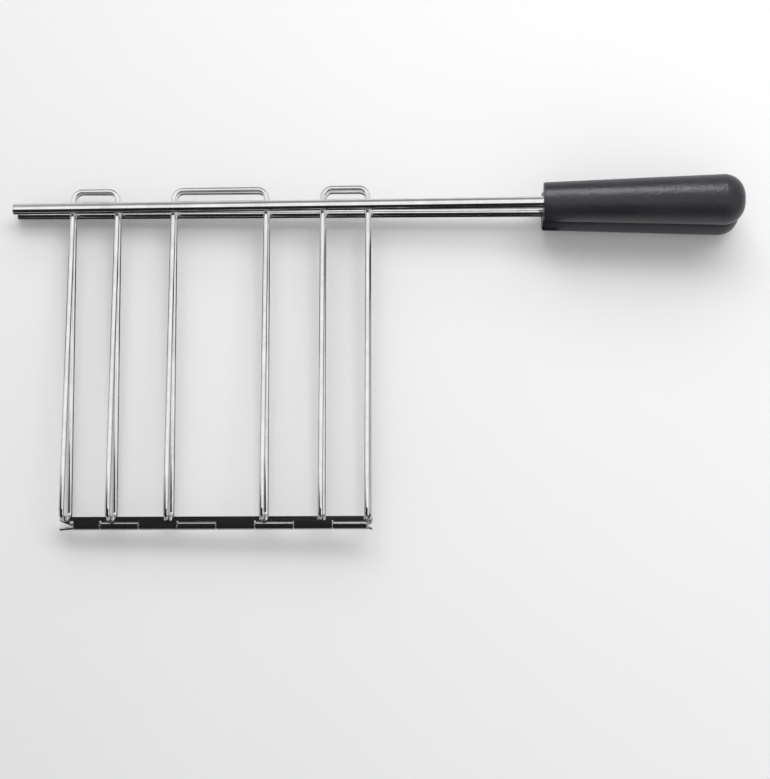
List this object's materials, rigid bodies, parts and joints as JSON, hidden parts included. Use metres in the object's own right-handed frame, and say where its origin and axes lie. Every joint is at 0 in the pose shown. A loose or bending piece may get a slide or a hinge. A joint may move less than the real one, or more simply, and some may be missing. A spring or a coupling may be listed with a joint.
{
  "type": "sandwich toasting tongs",
  "caption": "Hinged wire cage with two long rods and plastic grips, for toasting a sandwich in an upright toaster.",
  "frame": {"origin": "middle of the closed tongs' bounding box, in the plane where the two halves meet", "axes": "+X along the hinge pin towards the grips, +Y from the pin to the rods, +Z from the lower half to the upper half"},
  "size_m": [0.316, 0.1508, 0.0402],
  "materials": {
    "hinge_sheet": "bright rolled sheet, lightly scratched",
    "pin_steel": "drawn wire, bright",
    "cage_wire": "bright plated wire, with welds",
    "rod_steel": "bright plated rod, fine drawing lines",
    "grip_plastic": "moulded, satin, fine grain"
  },
  "bodies": {
    "lower_half": {"lower_leaf": "hinge_sheet", "hinge_pin": "pin_steel", "lower_left_wire": "cage_wire", "lower_middle_wire": "cage_wire", "lower_right_wire": "cage_wire", "lower_rod": "rod_steel", "lower_grip": "grip_plastic"},
    "upper_half": {"upper_leaf": "hinge_sheet", "upper_left_wire": "cage_wire", "upper_middle_wire": "cage_wire", "upper_right_wire": "cage_wire", "upper_rod": "rod_steel", "upper_grip": "grip_plastic"}
  },
  "joints": [
    {"name": "cage_hinge", "type": "hinge", "parent": "lower_half", "child": "upper_half", "pos_m": [0, -0.07337, 0], "axis": [1, 0, 0], "range_deg": [0, 180]}
  ]
}
